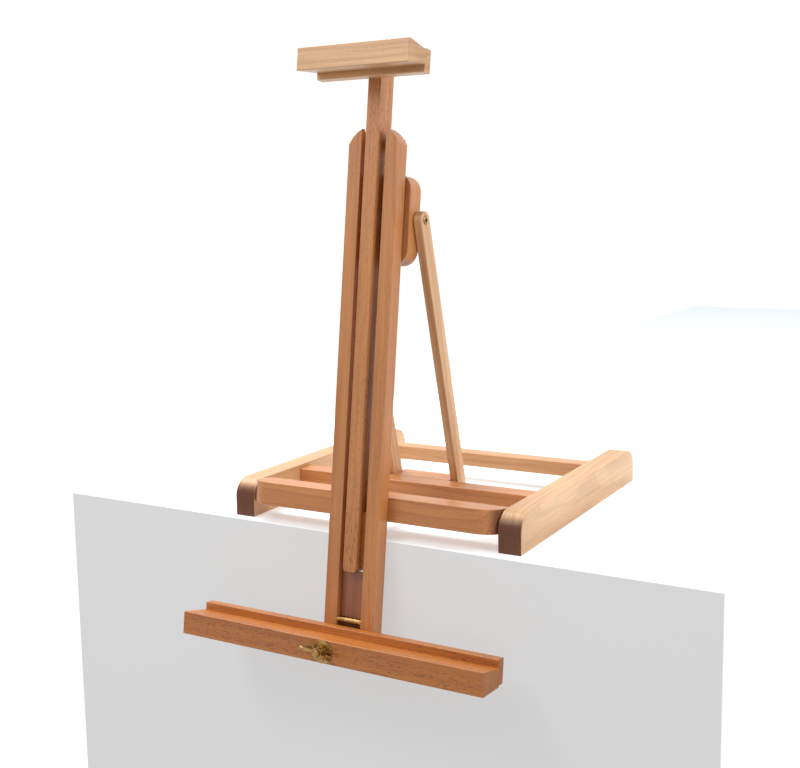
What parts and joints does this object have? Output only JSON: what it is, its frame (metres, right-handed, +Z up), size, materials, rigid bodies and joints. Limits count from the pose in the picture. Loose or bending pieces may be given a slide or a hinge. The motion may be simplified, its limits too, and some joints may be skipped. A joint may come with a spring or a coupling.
{
  "type": "tabletop easel",
  "caption": "Tabletop easel with a flat H-frame base, a mast leaning on a braced sliding block, a foot tray that hangs past the table edge and a raised head on a sliding bar.",
  "frame": {"origin": "on the table top, at the middle of the base's footprint", "axes": "+Z up; -Y towards the painter; +X to the painter's right; the base's side rails run along Y"},
  "size_m": [0.366, 0.4731, 0.6396],
  "materials": {
    "beech": "oiled satin beech",
    "dowel_beech": "unfinished beech dowel",
    "brass": "polished brass",
    "steel": "plain zinc-plated steel"
  },
  "bodies": {
    "base": {"left_side_rail": "beech", "right_side_rail": "beech", "mid_crossbar": "beech", "rear_crossbar": "beech", "base_dowels": "dowel_beech", "strut_foot_block": "beech", "foot_block_screws": "steel", "left_crossbar_pin": "steel", "right_crossbar_pin": "steel", "left_strut_foot_screw": "brass", "right_strut_foot_screw": "brass"},
    "cradle": {"front_crossbar": "beech", "crossbar_clamp_bracket": "steel", "crossbar_clamp_stud": "steel", "crossbar_clamp_washer": "brass"},
    "crossbar_nut": {"crossbar_wing_nut": "brass"},
    "left_leg": {"left_strut": "beech", "left_strut_top_screw": "brass"},
    "right_leg": {"right_strut": "beech", "right_strut_top_screw": "brass"},
    "block": {"sliding_block": "beech", "block_clamp_bracket": "steel", "block_clamp_stud": "steel", "block_clamp_washer": "brass"},
    "block_nut": {"block_wing_nut": "brass"},
    "mast": {"mast_left_rail": "beech", "mast_right_rail": "beech", "mast_foot_panel": "beech", "mast_foot_tie": "beech", "stop_rod": "brass", "mast_bridge": "beech", "bridge_screws": "steel", "bridge_insert": "brass", "tray_bolt": "brass"},
    "clamp_screw": {"bar_clamp_screw": "brass"},
    "holder": {"holder_bar": "beech", "left_bar_guide": "beech", "right_bar_guide": "beech", "head_block": "beech", "head_back_strip": "beech", "head_screws": "steel"},
    "tray": {"tray_block": "beech", "tray_back_strip": "beech", "tray_screws": "steel", "tray_washer": "brass"},
    "tray_nut": {"tray_wing_nut": "brass"}
  },
  "joints": [
    {"name": "mast_tilt", "type": "hinge", "parent": "base", "child": "cradle", "pos_m": [0, -0.1682, 0.0302], "axis": [-1, 0, 0], "range_deg": [-6, 10]},
    {"name": "left_strut_fold", "type": "hinge", "parent": "base", "child": "left_leg", "pos_m": [-0.0423, -0.0418, 0.021], "axis": [-1, 0, 0], "range_deg": [-6.4, 10.6]},
    {"name": "right_strut_fold", "type": "hinge", "parent": "base", "child": "right_leg", "pos_m": [0.0423, -0.0418, 0.021], "axis": [-1, 0, 0], "range_deg": [-6.4, 10.6]},
    {"name": "block_slide", "type": "slide", "parent": "cradle", "child": "block", "axis": [0, 0.1392, 0.9903], "range_m": [-0.0141, 0.0234]},
    {"name": "mast_height", "type": "slide", "parent": "cradle", "child": "mast", "axis": [0, 0.1392, 0.9903], "range_m": [0, 0.12]},
    {"name": "holder_height", "type": "slide", "parent": "mast", "child": "holder", "axis": [0, 0.1392, 0.9903], "range_m": [0, 0.3]},
    {"name": "tray_swivel", "type": "hinge", "parent": "mast", "child": "tray", "pos_m": [0, -0.24752, -0.10306], "axis": [0, -0.9903, 0.1392], "range_deg": [-60, 60]},
    {"name": "tray_nut_spin", "type": "hinge", "parent": "mast", "child": "tray_nut", "pos_m": [0, -0.28317, -0.09805], "axis": [0, -0.9903, 0.1392], "continuous": true},
    {"name": "block_nut_spin", "type": "hinge", "parent": "block", "child": "block_nut", "pos_m": [0, -0.11621, 0.33543], "axis": [0, 0.9903, -0.1392], "continuous": true},
    {"name": "crossbar_nut_spin", "type": "hinge", "parent": "cradle", "child": "crossbar_nut", "pos_m": [0, -0.14146, 0.02644], "axis": [0, 0.9903, -0.1392], "continuous": true},
    {"name": "clamp_screw_spin", "type": "hinge", "parent": "mast", "child": "clamp_screw", "pos_m": [0, -0.11307, 0.41528], "axis": [0, 0.9903, -0.1392], "continuous": true}
  ],
  "couplings": [
    {"joint": "left_strut_fold", "follows": "mast_tilt", "ratio": 1.05},
    {"joint": "right_strut_fold", "follows": "mast_tilt", "ratio": 1.05},
    {"joint": "block_slide", "follows": "mast_tilt", "m_per_rad": 0.132}
  ]
}
